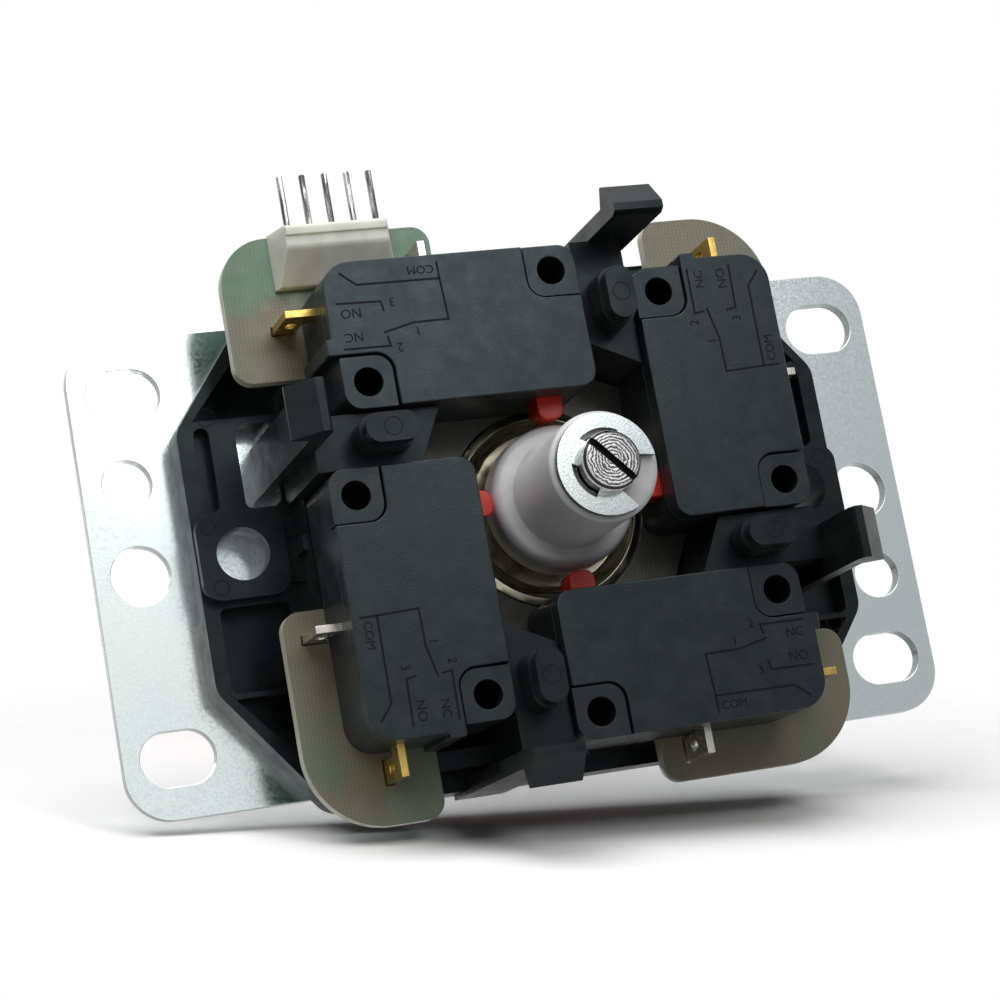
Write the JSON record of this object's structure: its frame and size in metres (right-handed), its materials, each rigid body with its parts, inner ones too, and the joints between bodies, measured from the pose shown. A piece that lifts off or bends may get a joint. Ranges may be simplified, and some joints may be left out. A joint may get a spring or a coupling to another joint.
{
  "type": "arcade joystick lever",
  "caption": "Arcade joystick lever: a ball top on a pivoting shaft over a steel plate, whose actuator presses four micro-switches on a board with a pin header.",
  "frame": {"origin": "centre of the mounting plate's panel-side face, on the lever's axis", "axes": "+Z along the lever to its ball, +X along the plate's long side with the pin header at negative X, +Y away from the header"},
  "size_m": [0.096, 0.0706, 0.0932],
  "materials": {
    "plate": "zinc plated, fine grain",
    "steel": "satin",
    "base": "satin black moulding",
    "board": "fibreglass board with a green mask",
    "header": "milky white nylon",
    "tin": "bright tinned",
    "gold": "gold flashed",
    "nylon": "translucent white",
    "pivot": "smooth acetal",
    "ball": "polished",
    "brass": "turned",
    "switch": "charcoal, spark textured",
    "plunger": "red acetal"
  },
  "bodies": {
    "base": {"mounting_plate": "plate", "plate_screws": "steel", "base_body": "base", "circuit_board": "board", "connector_housing": "header", "connector_pins": "tin", "spring_seat": "steel", "front_switch_case": "switch", "front_switch_cover": "switch", "front_switch_no_terminal": "gold", "front_switch_com_terminal": "tin", "right_switch_case": "switch", "right_switch_cover": "switch", "right_switch_no_terminal": "gold", "right_switch_com_terminal": "tin", "rear_switch_case": "switch", "rear_switch_cover": "switch", "rear_switch_no_terminal": "gold", "rear_switch_com_terminal": "tin", "left_switch_case": "switch", "left_switch_cover": "switch", "left_switch_no_terminal": "gold", "left_switch_com_terminal": "tin"},
    "spring": {"return_spring": "steel"},
    "actuator": {"actuator": "nylon"},
    "lever": {"lever_shaft": "steel", "pivot_ball": "pivot", "e_ring": "steel", "ball_top": "ball", "ball_insert": "brass"},
    "front_plunger": {"front_switch_plunger": "plunger"},
    "right_plunger": {"right_switch_plunger": "plunger"},
    "rear_plunger": {"rear_switch_plunger": "plunger"},
    "left_plunger": {"left_switch_plunger": "plunger"}
  },
  "joints": [
    {"name": "tilt_x", "type": "hinge", "parent": "base", "child": "spring", "pos_m": [0, 0, -0.004], "axis": [1, 0, 0], "range_deg": [-6, 6], "stiffness_Nm_per_rad": 0.6, "deforming": ["return_spring"]},
    {"name": "tilt_y", "type": "hinge", "parent": "spring", "child": "actuator", "pos_m": [0, 0, -0.004], "axis": [0, 1, 0], "range_deg": [-6, 6], "stiffness_Nm_per_rad": 0.6, "deforming": ["return_spring"]},
    {"name": "lever_spin", "type": "hinge", "parent": "actuator", "child": "lever", "pos_m": [0, 0, -0.004], "axis": [0, 0, 1], "continuous": true},
    {"name": "front_plunger_slide", "type": "slide", "parent": "base", "child": "front_plunger", "axis": [0, -1, 0], "range_m": [-0.0015, 0.0015]},
    {"name": "rear_plunger_slide", "type": "slide", "parent": "base", "child": "rear_plunger", "axis": [0, 1, 0], "range_m": [-0.0015, 0.0015]},
    {"name": "left_plunger_slide", "type": "slide", "parent": "base", "child": "left_plunger", "axis": [-1, 0, 0], "range_m": [-0.0015, 0.0015]},
    {"name": "right_plunger_slide", "type": "slide", "parent": "base", "child": "right_plunger", "axis": [1, 0, 0], "range_m": [-0.0015, 0.0015]}
  ],
  "couplings": [
    {"joint": "front_plunger_slide", "follows": "tilt_x", "m_per_rad": -0.01395},
    {"joint": "rear_plunger_slide", "follows": "tilt_x", "m_per_rad": 0.01395},
    {"joint": "left_plunger_slide", "follows": "tilt_y", "m_per_rad": 0.01395},
    {"joint": "right_plunger_slide", "follows": "tilt_y", "m_per_rad": -0.01395}
  ]
}
